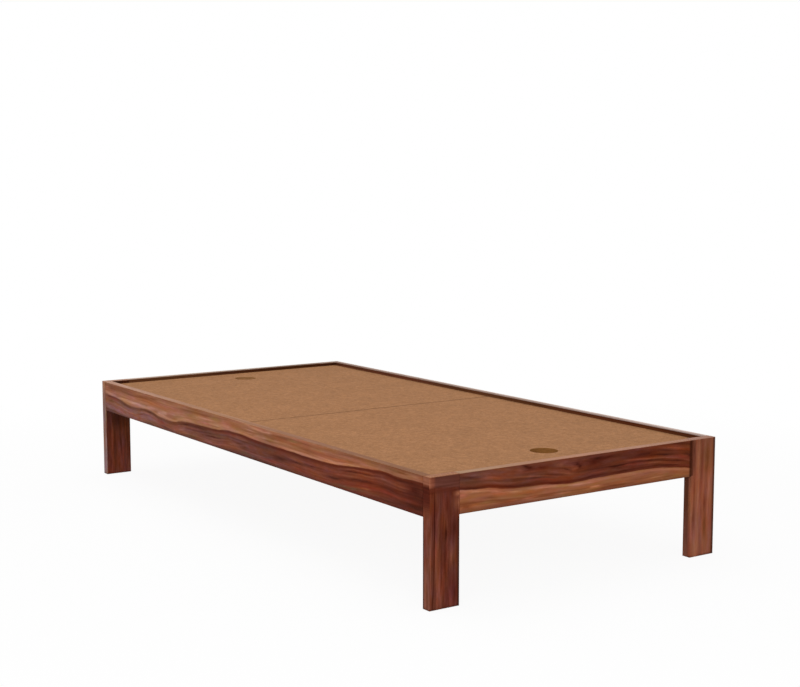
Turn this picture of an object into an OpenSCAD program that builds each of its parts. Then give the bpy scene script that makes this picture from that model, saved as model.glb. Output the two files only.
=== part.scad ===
// Platform bed frame for a single mattress: plank legs and rails flush in one rim,
// with two lift-out deck panels on ledgers and half-lapped bearers.
// Millimetres. +Z is up, +Y points to the head end, and the origin is on the floor at the middle.

/* [Overall size] */
// Width over the side rails
bed_w = 965; // [800:5:1300]
// Length over the legs, from foot to head
bed_l = 1975; // [1800:5:2200]
// Height of the rim above the floor
bed_h = 328; // [290:1:450]

/* [Legs and rails] */
// Width of a leg, across the bed
leg_w = 90; // [75:1:120]
// Thickness of a leg, along the bed
leg_t = 28; // [24:0.5:40]
// Height of the rails
rail_h = 101; // [92:1:140]
// Thickness of the rails
rail_t = 25; // [22:0.5:35]
// Radius of the eased edges on legs and rails
arris_r = 2; // [0.5:0.5:4]

/* [Mortise and tenon joints of the end rails] */
// Length of a tenon
tenon_l = 30; // [20:1:45]
// Thickness of a tenon
tenon_t = 10; // [6:0.5:14]
// Height of a tenon
tenon_h = 50; // [35:1:55]
// Distance from the rim down to a tenon
tenon_top = 13; // [8:1:20]
// Gap around a tenon in its mortise
tenon_fit = 0.15; // [0.05:0.05:0.5]
// Glue space beyond the end of a tenon
tenon_end_gap = 2; // [0.5:0.5:4]

/* [Dowels of the side rails] */
// Diameter of a dowel
dowel_d = 10; // [6:1:12]
// Distance from the rim down to the upper dowel
dowel_top = 22; // [15:1:30]
// Distance between the two dowels of a corner
dowel_pitch = 28; // [20:1:30]
// Depth of a dowel in the leg
dowel_in_leg = 18; // [10:1:20]
// Depth of a dowel in the rail
dowel_in_rail = 30; // [20:1:50]
// Gap around a dowel in its bore
dowel_fit = 0.1; // [0.05:0.05:0.3]
// Glue space beyond each end of a dowel
dowel_end_gap = 0.8; // [0.5:0.1:2]

/* [Corner brackets] */
// Length of each leaf of a bracket
bracket_leaf = 36; // [30:1:45]
// Height of a bracket
bracket_h = 32; // [28:1:34]
// Thickness of the bracket steel
bracket_t = 3; // [2:0.5:3.5]
// Outside radius of the bend
bracket_bend = 5; // [4:0.5:8]
// Distance from the corner to the line of holes
bracket_hole_at = 21; // [18:0.5:24]
// Distance between the two holes of a leaf
bracket_hole_pitch = 16; // [14:0.5:20]
// Depth of a bracket screw in the wood
bracket_bite = 17; // [10:1:18]

/* [Deck] */
// Thickness of the deck board
deck_t = 15; // [12:0.5:18]
// Depth of the deck's top below the rim
deck_drop = 11; // [5:0.5:14]
// Gap between the deck and the rim
deck_gap = 1.5; // [0.5:0.25:4]
// Gap between the two panels
seam_gap = 1; // [0.5:0.25:4]
// Diameter of a finger hole
hole_d = 75; // [40:1:90]
// Distance from the end of the bed to the centre of a finger hole
hole_from_end = 155; // [120:1:170]
// Eased edge of a finger hole
hole_ease = 1; // [0.5:0.25:2]

/* [Ledgers and bearers] */
// Width of a ledger
ledger_w = 25; // [20:1:35]
// Height of a ledger
ledger_h = 30; // [26:1:34]
// Gap at the ends of a ledger
ledger_end_gap = 0.5; // [0.25:0.25:3]
// Width of a cross bearer
bearer_w = 40; // [30:1:60]
// Width of the bearer under the seam
centre_bearer_w = 70; // [50:1:90]
// Height of a bearer
bearer_h = 30; // [20:1:40]
// Depth of the half-lap in the ledgers
lap_d = 15; // [10:1:17]
// Gap around a bearer in its half-lap
lap_fit = 0.25; // [0.1:0.05:1]
// Screws of an end ledger
end_ledger_screws = 3; // [2:1:6]

/* [Screws] */
// Diameter of a screw's shank
screw_d = 4.5; // [3.5:0.5:5]
// Diameter of a screw's head
screw_head_d = 8.5; // [7:0.5:9.5]
// Height of a screw's head
screw_head_h = 2.6; // [2:0.1:3]
// Gap around a screw in its bore
screw_fit = 0.1; // [0.05:0.05:0.3]
// Depth of a bore beyond the screw's point
screw_end_gap = 1; // [0.5:0.5:2]
// Depth of a ledger screw in the rail
ledger_bite = 17; // [10:1:18]
// Depth of a lap screw in the ledger
lap_bite = 9; // [5:1:11]
// Depth of a lap screw's head below the bearer's top
head_sink = 0.4; // [0.2:0.1:1]

/* [Hidden] */
$fn = 48;
through = 1;                                    // how far a cutter runs past a face
bearers_per_panel = 2;                          // beside the one under the seam

half_w = bed_w / 2;
half_l = bed_l / 2;
rail_z = bed_h - rail_h;                        // underside of the rails
rail_in_x = half_w - rail_t;                    // inner face of a side rail
rail_in_y = half_l - rail_t;                    // inner face of an end rail
leg_in_x = half_w - leg_w;                      // narrow inner face of a leg
leg_in_y = half_l - leg_t;                      // wide inner face of a leg
deck_z = bed_h - deck_drop - deck_t;            // underside of the deck, and top of what carries it
deck_end_y = min(leg_in_y, rail_in_y) - deck_gap;
hole_y = half_l - hole_from_end;
ledger_z = deck_z - ledger_h;
ledger_in_x = rail_in_x - ledger_w;
ledger_in_y = rail_in_y - ledger_w;
lap_z = deck_z - lap_d;                         // seat of a bearer in its ledger
bearer_pitch = ledger_in_y / (bearers_per_panel + 1);
bracket_z = (rail_z + ledger_z) / 2;            // middle of a bracket
head_seat = screw_head_h + head_sink;           // depth of a lap screw's counterbore

wood_leg = [0.34, 0.18, 0.13];
wood_rail = [0.42, 0.22, 0.15];
wood_inner = [0.62, 0.45, 0.30];
board = [0.64, 0.47, 0.34];
beech = [0.80, 0.64, 0.45];
zinc = [0.72, 0.72, 0.70];
steel = [0.30, 0.30, 0.31];

// Places

// Turns the corner at +X, +Y into the corner on the side sx of the end sy.
module corner(sx, sy) {
    mirror([sx < 0 ? 1 : 0, 0, 0]) mirror([0, sy < 0 ? 1 : 0, 0]) children();
}

// A side rail's dowels at the corner +X, +Y: the child runs along +Y from the joint.
module dowel_places() {
    for (drop = [dowel_top, dowel_top + dowel_pitch])
        translate([half_w - rail_t / 2, leg_in_y, bed_h - drop]) rotate([-90, 0, 0]) children();
}

// The bracket's screws in the side rail at the corner +X, +Y, heads towards the bed's middle.
module rail_leaf_places() {
    for (z = [-0.5, 0.5] * bracket_hole_pitch)
        translate([rail_in_x - bracket_t, leg_in_y - bracket_hole_at, bracket_z + z])
            rotate([0, -90, 0]) children();
}

// The bracket's screws in the leg at the corner +X, +Y.
module leg_leaf_places() {
    for (z = [-0.5, 0.5] * bracket_hole_pitch)
        translate([rail_in_x - bracket_hole_at, leg_in_y - bracket_t, bracket_z + z])
            rotate([90, 0, 0]) children();
}

// The side ledger's screws at +X, each midway between two supports of the deck.
module side_ledger_places() {
    for (i = [-bearers_per_panel - 1 : bearers_per_panel])
        translate([ledger_in_x, (i + 0.5) * bearer_pitch, ledger_z + ledger_h / 2])
            rotate([0, -90, 0]) children();
}

// The end ledger's screws at +Y.
module end_ledger_places() {
    pitch = 2 * leg_in_x / end_ledger_screws;
    for (i = [0 : end_ledger_screws - 1])
        translate([(i - (end_ledger_screws - 1) / 2) * pitch, ledger_in_y, ledger_z + ledger_h / 2])
            rotate([90, 0, 0]) children();
}

// The lap screws at +X of a bearer of width w at y: two where the heads have room, or else one.
module lap_places(w, y) {
    spread = w > 6 * screw_head_d ? [-0.25, 0.25] * w : [0];
    for (dy = spread)
        translate([rail_in_x - ledger_w / 2, y + dy, deck_z - head_seat]) children();
}

// Every bearer as [width, y], from foot to head.
BEARERS = [for (i = [-bearers_per_panel : bearers_per_panel])
    [i == 0 ? centre_bearer_w : bearer_w, i * bearer_pitch]];

module all_lap_places() {
    for (b = BEARERS) lap_places(b[0], b[1]) children();
}

// Fasteners: the head stands on z = 0 and the shank runs down from it.

module screw(l) {
    cylinder(h = screw_head_h, d1 = screw_head_d, d2 = 0.75 * screw_head_d);
    translate([0, 0, screw_d / 2 - l]) cylinder(h = l - screw_d / 2, d = screw_d);
    translate([0, 0, -l]) cylinder(h = screw_d / 2, d1 = 0.2 * screw_d, d2 = screw_d);
}

module screw_bore(l) {
    translate([0, 0, -l - screw_end_gap]) cylinder(h = l + screw_end_gap + through, d = screw_d + 2 * screw_fit);
}

bracket_screw_l = bracket_t + bracket_bite;
ledger_screw_l = ledger_w + ledger_bite;
lap_screw_l = lap_d - head_seat + lap_bite;

// Timber

module eased_section(size) {
    translate([arris_r, 0]) square([size.x - 2 * arris_r, size.y]);
    translate([0, arris_r]) square([size.x, size.y - 2 * arris_r]);
    for (x = [arris_r, size.x - arris_r], y = [arris_r, size.y - arris_r])
        translate([x, y]) circle(arris_r);
}

// A block with all its edges eased, from the origin.
module eased_block(size) {
    intersection() {
        linear_extrude(size.z) eased_section([size.x, size.y]);
        translate([0, size.y, 0]) rotate([90, 0, 0]) linear_extrude(size.y) eased_section([size.x, size.z]);
        rotate([90, 0, 90]) linear_extrude(size.x) eased_section([size.y, size.z]);
    }
}

// A leg at the corner +X, +Y, with its mortise, dowel bores and bracket bores.
module leg(sx, sy) {
    color(wood_leg) corner(sx, sy) difference() {
        translate([leg_in_x, leg_in_y, 0]) eased_block([leg_w, leg_t, bed_h]);
        translate([leg_in_x - through, half_l - rail_t / 2 - tenon_t / 2 - tenon_fit,
                bed_h - tenon_top - tenon_h - tenon_fit])
            cube([tenon_l + tenon_end_gap + through, tenon_t + 2 * tenon_fit, tenon_h + 2 * tenon_fit]);
        dowel_places() translate([0, 0, -through])
            cylinder(h = dowel_in_leg + dowel_end_gap + through, d = dowel_d + 2 * dowel_fit);
        leg_leaf_places() screw_bore(bracket_screw_l);
    }
}

// A side rail, with the bores for its dowels, its brackets and its ledger.
module side_rail(sx) {
    color(wood_rail) corner(sx, 1) difference() {
        translate([rail_in_x, leg_in_y, rail_z]) rotate([90, 0, 0])
            linear_extrude(2 * leg_in_y) eased_section([rail_t, rail_h]);
        for (sy = [-1, 1]) corner(1, sy) {
            dowel_places() translate([0, 0, -dowel_in_rail - dowel_end_gap])
                cylinder(h = dowel_in_rail + dowel_end_gap + through, d = dowel_d + 2 * dowel_fit);
            rail_leaf_places() screw_bore(bracket_screw_l);
        }
        side_ledger_places() screw_bore(ledger_screw_l);
    }
}

// An end rail, with a tenon at each end and the bores for its ledger.
module end_rail(sy) {
    color(wood_rail) corner(1, sy) difference() {
        union() {
            translate([-leg_in_x, rail_in_y, rail_z]) rotate([90, 0, 90])
                linear_extrude(2 * leg_in_x) eased_section([rail_t, rail_h]);
            translate([-leg_in_x - tenon_l, rail_in_y + rail_t / 2 - tenon_t / 2, bed_h - tenon_top - tenon_h])
                cube([2 * (leg_in_x + tenon_l), tenon_t, tenon_h]);
        }
        end_ledger_places() screw_bore(ledger_screw_l);
    }
}

// A side ledger, with a half-lap for each bearer.
module side_ledger(sx) {
    color(wood_inner) corner(sx, 1) difference() {
        translate([ledger_in_x, ledger_end_gap - leg_in_y, ledger_z])
            cube([ledger_w, 2 * (leg_in_y - ledger_end_gap), ledger_h]);
        for (b = BEARERS)
            translate([ledger_in_x - through, b[1] - b[0] / 2 - lap_fit, lap_z])
                cube([ledger_w + 2 * through, b[0] + 2 * lap_fit, lap_d + through]);
        side_ledger_places() screw_bore(ledger_screw_l);
        all_lap_places() screw_bore(lap_screw_l);
    }
}

module end_ledger(sy) {
    end_x = min(leg_in_x, ledger_in_x) - ledger_end_gap;
    color(wood_inner) corner(1, sy) difference() {
        translate([-end_x, ledger_in_y, ledger_z]) cube([2 * end_x, ledger_w, ledger_h]);
        end_ledger_places() screw_bore(ledger_screw_l);
    }
}

// A bearer of width w at y: its ends are cut away below to lie in the side ledgers.
module bearer(w, y) {
    end_x = rail_in_x - lap_fit;
    color(wood_inner) difference() {
        translate([-end_x, y - w / 2, deck_z - bearer_h]) cube([2 * end_x, w, bearer_h]);
        for (sx = [-1, 1]) corner(sx, 1) {
            translate([ledger_in_x - lap_fit, y - w / 2 - through, deck_z - bearer_h - through])
                cube([ledger_w + 2 * through, w + 2 * through, bearer_h - lap_d + through]);
            lap_places(w, y) {
                screw_bore(lap_screw_l);
                cylinder(h = head_seat + through, d = screw_head_d + 4 * screw_fit);
            }
        }
    }
}

// A loose deck panel with its finger hole.
module deck_panel(sy) {
    end_x = rail_in_x - deck_gap;
    color(board) corner(1, sy) difference() {
        translate([-end_x, seam_gap / 2, deck_z]) cube([2 * end_x, deck_end_y - seam_gap / 2, deck_t]);
        translate([0, hole_y, deck_z - through]) cylinder(h = deck_t + 2 * through, d = hole_d);
        translate([0, hole_y, deck_z + deck_t - hole_ease])
            cylinder(h = 2 * hole_ease, d1 = hole_d, d2 = hole_d + 4 * hole_ease);
    }
}

// Metal and dowels

// A square of side a that ends at the origin, with a round corner of radius r there.
module round_corner_square(a, r) {
    translate([-a, -a]) square([a - r, a]);
    translate([-a, -a]) square([a, a - r]);
    translate([-r, -r]) circle(r);
}

// A bent steel angle in the corner between a side rail and its leg.
module bracket(sx, sy) {
    color(steel) corner(sx, sy) difference() {
        translate([rail_in_x, leg_in_y, bracket_z - bracket_h / 2]) linear_extrude(bracket_h) difference() {
            round_corner_square(bracket_leaf, bracket_bend);
            translate([-bracket_t, -bracket_t]) round_corner_square(bracket_leaf, bracket_bend - bracket_t);
        }
        rail_leaf_places() screw_bore(bracket_screw_l);
        leg_leaf_places() screw_bore(bracket_screw_l);
    }
}

module rail_dowels() {
    color(beech) for (sx = [-1, 1], sy = [-1, 1]) corner(sx, sy)
        dowel_places() translate([0, 0, -dowel_in_rail]) cylinder(h = dowel_in_rail + dowel_in_leg, d = dowel_d);
}

module bracket_screws() {
    color(zinc) for (sx = [-1, 1], sy = [-1, 1]) corner(sx, sy) {
        rail_leaf_places() screw(bracket_screw_l);
        leg_leaf_places() screw(bracket_screw_l);
    }
}

module ledger_screws() {
    color(zinc) {
        for (sx = [-1, 1]) corner(sx, 1) side_ledger_places() screw(ledger_screw_l);
        for (sy = [-1, 1]) corner(1, sy) end_ledger_places() screw(ledger_screw_l);
    }
}

module lap_screws() {
    color(zinc) for (sx = [-1, 1]) corner(sx, 1) all_lap_places() screw(lap_screw_l);
}

leg(-1, -1);  // leg_foot_left
leg(1, -1);  // leg_foot_right
leg(-1, 1);  // leg_head_left
leg(1, 1);  // leg_head_right
side_rail(-1);  // side_rail_left
side_rail(1);  // side_rail_right
end_rail(-1);  // foot_rail
end_rail(1);  // head_rail
deck_panel(-1);  // deck_panel_foot
deck_panel(1);  // deck_panel_head
side_ledger(-1);  // side_ledger_left
side_ledger(1);  // side_ledger_right
end_ledger(-1);  // foot_ledger
end_ledger(1);  // head_ledger
bearer(centre_bearer_w, 0);  // centre_bearer
bearer(bearer_w, -2 * bearer_pitch);  // bearer_foot_outer
bearer(bearer_w, -bearer_pitch);  // bearer_foot_inner
bearer(bearer_w, bearer_pitch);  // bearer_head_inner
bearer(bearer_w, 2 * bearer_pitch);  // bearer_head_outer
bracket(-1, -1);  // bracket_foot_left
bracket(1, -1);  // bracket_foot_right
bracket(-1, 1);  // bracket_head_left
bracket(1, 1);  // bracket_head_right
rail_dowels();
bracket_screws();
ledger_screws();
lap_screws();
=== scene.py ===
"""Looks of the platform bed frame: hardwood, deck board, inner timber, fixings, studio and camera."""

from math import radians
import bpy
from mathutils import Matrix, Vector


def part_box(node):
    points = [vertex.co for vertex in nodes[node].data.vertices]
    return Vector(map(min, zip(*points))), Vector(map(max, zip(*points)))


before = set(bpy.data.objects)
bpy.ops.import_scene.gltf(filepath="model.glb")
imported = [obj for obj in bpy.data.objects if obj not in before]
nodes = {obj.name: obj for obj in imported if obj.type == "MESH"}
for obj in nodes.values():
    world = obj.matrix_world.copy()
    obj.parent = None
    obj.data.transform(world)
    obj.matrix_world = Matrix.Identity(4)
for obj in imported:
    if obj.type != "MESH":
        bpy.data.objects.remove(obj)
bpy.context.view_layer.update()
scene = bpy.context.scene

# Sizes read from the frame, in metres
MM = 0.001
NEAR_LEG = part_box("leg_foot_left")
LEFT_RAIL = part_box("side_rail_left")
OUT_X, OUT_Y, TOP_Z = -NEAR_LEG[0].x, -NEAR_LEG[0].y, NEAR_LEG[1].z     # half width, half length and height
LEG_IN_X, LEG_IN_Y = -NEAR_LEG[1].x, -NEAR_LEG[1].y     # the legs' inner faces
LEG_T = OUT_Y - LEG_IN_Y                                # thicknesses
RAIL_T = LEFT_RAIL[1].x + OUT_X
RAIL_Z = LEFT_RAIL[0].z                                 # the rails' lower edge
DECK_LOW, DECK_TOP = (corner.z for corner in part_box("deck_panel_foot"))


def srgb(r, g, b):
    """A colour written as 0 to 255 screen values, as linear RGBA."""
    linear = (((c / 255 + 0.055) / 1.055) ** 2.4 if c > 10 else c / 255 / 12.92 for c in (r, g, b))
    return (*linear, 1.0)


def tones(*stops):
    """Stops for a ramp, each written as a place in metres and a screen colour."""
    return tuple((place, srgb(*colour)) for place, *colour in stops)


def factors(*stops):
    """Stops for a ramp, each written as a place and the factors on red, green and blue."""
    return tuple((place, (*colour, 1.0)) for place, *colour in stops)


class Net:
    """Builds one material from the object's own coordinates, in metres."""

    def __init__(self, name):
        self.mat = bpy.data.materials.new(name)
        self.mat.use_nodes = True
        self.tree = self.mat.node_tree
        self.bsdf = self.tree.nodes["Principled BSDF"]
        coord = self.new("TexCoord")
        split = self.new("SeparateXYZ")
        self.tree.links.new(coord.outputs["Object"], split.inputs[0])
        self.place = tuple(split.outputs)
        self.x, self.y, self.z = self.place

    def new(self, kind):
        """A new shader node of that kind."""
        return self.tree.nodes.new("ShaderNode" + kind)

    def put(self, socket, value):
        """Links a socket or sets a constant."""
        if isinstance(value, bpy.types.NodeSocket):
            self.tree.links.new(value, socket)
        else:
            socket.default_value = value

    def math(self, op, a, b=0.0, c=0.0, clamp=False):
        """The result of a Math node with that operation."""
        node = self.new("Math")
        node.operation, node.use_clamp = op, clamp
        for socket, value in zip(node.inputs, (a, b, c)):
            self.put(socket, value)
        return node.outputs[0]

    def add(self, a, b):
        return self.math("ADD", a, b)

    def sub(self, a, b):
        return self.math("SUBTRACT", a, b)

    def mul(self, a, b):
        return self.math("MULTIPLY", a, b)

    def distance(self, a, b):
        """How far apart two coordinates are."""
        return self.math("ABSOLUTE", self.sub(a, b))

    def share(self, value, low, high):
        """How far a value is on the way from low to high, 0 to 1."""
        return self.math("MULTIPLY_ADD", value, 1.0 / (high - low), -low / (high - low), clamp=True)

    def sway(self, value, noise, reach):
        """A coordinate moved to and fro by a noise, by half the reach each way."""
        return self.math("MULTIPLY_ADD", noise, reach, self.sub(value, reach / 2))

    def vec(self, x, y, z):
        """A vector from three coordinates."""
        node = self.new("CombineXYZ")
        for socket, value in zip(node.inputs, (x, y, z)):
            self.put(socket, value)
        return node.outputs[0]

    def noise(self, place, waves, detail=2.0, rough=0.5):
        """A noise with so many waves per metre along each coordinate, mostly between 0.25 and 0.75."""
        node = self.new("TexNoise")
        scaled = (self.mul(value, count) for value, count in zip(place, waves))
        self.put(node.inputs["Vector"], self.vec(*scaled))
        node.inputs["Scale"].default_value = 1.0
        node.inputs["Detail"].default_value = detail
        node.inputs["Roughness"].default_value = rough
        return node.outputs[0]

    def step(self, value, low, high, to_low=0.0, to_high=1.0):
        """Smooth step from to_low at low to to_high at high."""
        node = self.new("MapRange")
        node.interpolation_type = "SMOOTHSTEP"
        keys = ("Value", "From Min", "From Max", "To Min", "To Max")
        for key, setting in zip(keys, (value, low, high, to_low, to_high)):
            self.put(node.inputs[key], setting)
        return node.outputs[0]

    def hump(self, value, centre, width, height):
        """A bell of that height at centre."""
        away = self.mul(self.sub(value, centre), 1.0 / width)
        return self.mul(self.math("EXPONENT", self.mul(self.mul(away, away), -1.0)), height)

    def curve(self, value, points):
        """A smooth curve through (input, output) points in metres."""
        node = self.new("FloatCurve")
        low, high = points[0][0], points[-1][0]
        base = min(p[1] for p in points)
        span = max(p[1] for p in points) - base
        self.put(node.inputs["Value"], self.share(value, low, high))
        line = node.mapping.curves[0]
        while len(line.points) < len(points):
            line.points.new(0.5, 0.5)
        for point, (a, b) in zip(line.points, points):
            point.location = ((a - low) / (high - low), (b - base) / span)
            point.handle_type = "AUTO"
        node.mapping.update()
        return self.math("MULTIPLY_ADD", node.outputs[0], span, base)

    def ramp(self, value, stops):
        """Colours blended smoothly between (place, colour) stops."""
        low, high = stops[0][0], stops[-1][0]
        node = self.new("ValToRGB")
        self.put(node.inputs[0], self.share(value, low, high))
        node.color_ramp.interpolation = "EASE"
        while len(node.color_ramp.elements) < len(stops):
            node.color_ramp.elements.new(0.5)
        for stop, (place, colour) in zip(node.color_ramp.elements, stops):
            stop.position = (place - low) / (high - low)
            stop.color = colour
        return node.outputs[0]

    def mix(self, share, a, b, blend="MIX"):
        """Colour a with that share of colour b."""
        node = self.new("Mix")
        node.data_type, node.blend_type = "RGBA", blend
        self.put(node.inputs["Factor"], share)
        self.put(node.inputs[6], a)
        self.put(node.inputs[7], b)
        return node.outputs[2]

    def tint(self, share, colour, by):
        """Colour times the factors, by that share."""
        return self.mix(share, colour, by, "MULTIPLY")

    def shade(self, colour, factor):
        """Colour times a grey factor."""
        node = self.new("VectorMath")
        node.operation = "SCALE"
        self.put(node.inputs[0], colour[:3] if isinstance(colour, tuple) else colour)
        self.put(node.inputs["Scale"], factor)
        return node.outputs[0]

    def bump(self, height, distance):
        """Relief of that many metres."""
        node = self.new("Bump")
        node.inputs["Distance"].default_value = distance
        self.put(node.inputs["Height"], height)
        self.put(self.bsdf.inputs["Normal"], node.outputs[0])

    def finish(self, colour, roughness, specular, metallic=0.0):
        """Sets the surface and returns the material."""
        self.put(self.bsdf.inputs["Base Color"], colour)
        self.put(self.bsdf.inputs["Roughness"], roughness)
        self.bsdf.inputs["Specular IOR Level"].default_value = specular
        self.bsdf.inputs["Metallic"].default_value = metallic
        return self.mat


def dress(name, material):
    """Gives a CAD node that material."""
    data = nodes[name].data
    data.materials.clear()
    data.materials.append(material)


# Tones of the hardwood, as screen colours
HEART_DARK = srgb(73, 27, 15)
HEART_BLACK = srgb(52, 18, 10)
HEART_LIGHT = srgb(132, 70, 50)
HEART_RED = srgb(124, 54, 38)
HEART_PINK = srgb(148, 90, 78)
HEART_OLIVE = srgb(106, 72, 50)
HEART_TAN = srgb(150, 102, 84)
SAP_DARK = srgb(135, 82, 53)
SAP_MID = srgb(161, 106, 76)
SAP_LIGHT = srgb(194, 136, 108)
SAP_PALE = srgb(210, 157, 133)
SAP_ORANGE = srgb(172, 102, 62)
SAP_PINK = srgb(180, 114, 92)
SAP_OLIVE = srgb(152, 110, 70)
PORE = srgb(44, 16, 8)

# Painted shade: tones of shaded places, as screen colours
LEG_INNER_SHADE = srgb(60, 31, 13)            # above the deck
FLOOR_SHADE = srgb(54, 26, 18)          # at the foot of a leg
NEAR_ARRIS_SHADE = srgb(50, 24, 16)           # on the near leg
RIGHT_ARRIS_SHADE = srgb(62, 32, 22)          # on the right leg
RAIL_JOINT_SHADE = srgb(60, 24, 10)           # the foot rail's right end
LEG_JOINT_SHADE = srgb(66, 26, 12)            # the right leg beside it

# Factors on red, green and blue
DEEP = (0.60, 0.49, 0.43, 1.0)          # dark streaks
PALE = (1.22, 1.30, 1.40, 1.0)          # light streaks
LOW_ARRIS_SHADE = (0.55, 0.52, 0.55, 1.0)     # the rails' lower arrises
# By the strength of a noise: short patches that are deeper or paler, longer ones of olive or rose, and wide
# ones of orange or grey
MOTTLE = factors((0.34, 0.95, 0.845, 0.68), (0.50, 1.0, 0.995, 0.975), (0.66, 1.05, 1.145, 1.30))
DRIFT = factors((0.34, 0.98, 1.035, 0.90), (0.50, 1.0, 1.0, 1.0), (0.66, 1.03, 0.965, 1.09))
TINGE = factors((0.34, 1.10, 0.97, 0.72), (0.50, 1.0, 1.0, 0.98), (0.66, 0.90, 0.995, 1.20))

# Where pale sapwood meets dark heartwood on the left side rail's outer face: (Y, height) in metres
SIDE_EDGE = (
    (-0.99, 0.3085), (-0.93, 0.3090), (-0.86, 0.3065), (-0.80, 0.3090), (-0.74, 0.3055), (-0.66, 0.2990),
    (-0.60, 0.2925), (-0.52, 0.2870), (-0.40, 0.2858), (-0.28, 0.2870), (-0.15, 0.2872), (0.00, 0.2910),
    (0.07, 0.2880), (0.12, 0.2825), (0.22, 0.2795), (0.32, 0.2765), (0.38, 0.2700), (0.44, 0.2635),
    (0.51, 0.2655), (0.57, 0.2735), (0.62, 0.2770), (0.72, 0.2710), (0.79, 0.2750), (0.86, 0.2835),
    (0.99, 0.2870),
)
# The same on the foot rail's outer face, where the heartwood is above: (X, height)
FOOT_EDGE = (
    (-0.49, 0.2960), (-0.45, 0.2910), (-0.40, 0.2865), (-0.35, 0.2832), (-0.30, 0.2808), (-0.26, 0.2745),
    (-0.21, 0.2702), (-0.14, 0.2690), (-0.08, 0.2630), (-0.03, 0.2610), (0.04, 0.2642), (0.12, 0.2658),
    (0.24, 0.2666), (0.30, 0.2625), (0.36, 0.2560), (0.40, 0.2490), (0.49, 0.2400),
)
# Where the foot rail's heartwood ends as it runs on round the top of the near leg: (X, height)
CAP_EDGE = ((-0.49, 0.2960), (-0.455, 0.2975), (-0.435, 0.2955), (-0.405, 0.2925), (-0.385, 0.2885))
# The right side rail and the head rail, with the heartwood above; the photo doesn't show these faces
RIGHT_EDGE = (
    (-0.99, 0.262), (-0.70, 0.270), (-0.45, 0.257), (-0.15, 0.265), (0.20, 0.249), (0.50, 0.258),
    (0.80, 0.272), (0.99, 0.268),
)
HEAD_EDGE = ((-0.49, 0.262), (-0.28, 0.252), (-0.05, 0.259), (0.18, 0.270), (0.36, 0.262), (0.49, 0.266))

# Figure that stands out on a rail, as soft ovals: along, across, half length and half width in mm, strength,
# and the slope in radians where an oval isn't level. Across is the height on sapwood, and on heartwood the
# distance from its edge, less than 0.
SIDE_HEART = (
    (HEART_TAN, ((925, -40, 34, 11, 0.6), (952, -18, 22, 22, 0.5))),
    (HEART_PINK, (
        (820, -34, 150, 16, 0.8), (640, -34, 90, 10, 0.5), (370, -26, 90, 12, 0.7), (560, -20, 50, 8, 0.5),
        (10, -34, 50, 12, 0.6), (170, -44, 90, 8, 0.5), (-30, -12, 60, 6, 0.3),
    )),
    (HEART_OLIVE, (
        (905, -18, 24, 8, 0.5), (270, -42, 60, 8, 0.6), (590, -42, 70, 6, 0.7),
        (-640, -58, 130, 7, 0.7, 0.05), (-70, -52, 60, 6, 0.6), (120, -20, 60, 6, 0.4),
    )),
    (HEART_LIGHT, (
        (-660, -9.5, 120, 3.2, 0.9, 0.01), (-740, -20, 150, 4.5, 0.9, 0.02), (-540, -15, 90, 4, 0.5, 0.02),
        (-290, -40, 70, 4.5, 0.8, -0.10), (-470, -41, 60, 5, 0.6, -0.04), (-620, -26, 90, 4, 0.6),
        (-60, -30, 80, 5, 0.6, -0.04), (-880, -24, 60, 4, 0.4, 0.03), (290, -16, 70, 5, 0.4),
    )),
    (HEART_RED, (
        (-700, -48, 140, 6.5, 0.9, 0.02), (-840, -50, 110, 8, 0.7), (-390, -44, 80, 7, 0.5),
        (-230, -46, 60, 6, 0.5), (660, -22, 60, 6, 0.6), (500, -14, 40, 8, 0.6), (890, -6, 60, 6, 0.6),
        (40, -8, 90, 6, 0.5), (-80, -40, 50, 6, 0.4),
    )),
    (SAP_ORANGE, ((-706, -53, 30, 4, 0.3),)),
    (HEART_DARK, (
        (-660, -14.5, 160, 3.2, 0.62, 0.01), (-680, -34, 140, 6, 0.62), (-560, -37, 100, 5, 0.6, -0.02),
        (-820, -41, 120, 5.5, 0.6), (-265, -30, 110, 13, 0.66), (-360, -26, 60, 5, 0.6),
        (-930, -24, 60, 26, 0.85), (-860, -9, 110, 6, 0.6), (-440, -22, 80, 4, 0.6), (140, -26, 80, 4, 0.7),
        (600, -6, 70, 5, 0.6), (800, -5, 60, 5, 0.4), (240, -8, 90, 6, 0.6), (-10, -28, 40, 4, 0.5),
        (330, -8, 70, 5, 0.6), (480, -26, 60, 5, 0.4),
    )),
    (HEART_BLACK, ((-705, -33, 40, 3.5, 0.3), (-930, -66, 100, 11, 0.5), (-800, -70, 130, 5, 0.5))),
)
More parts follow.
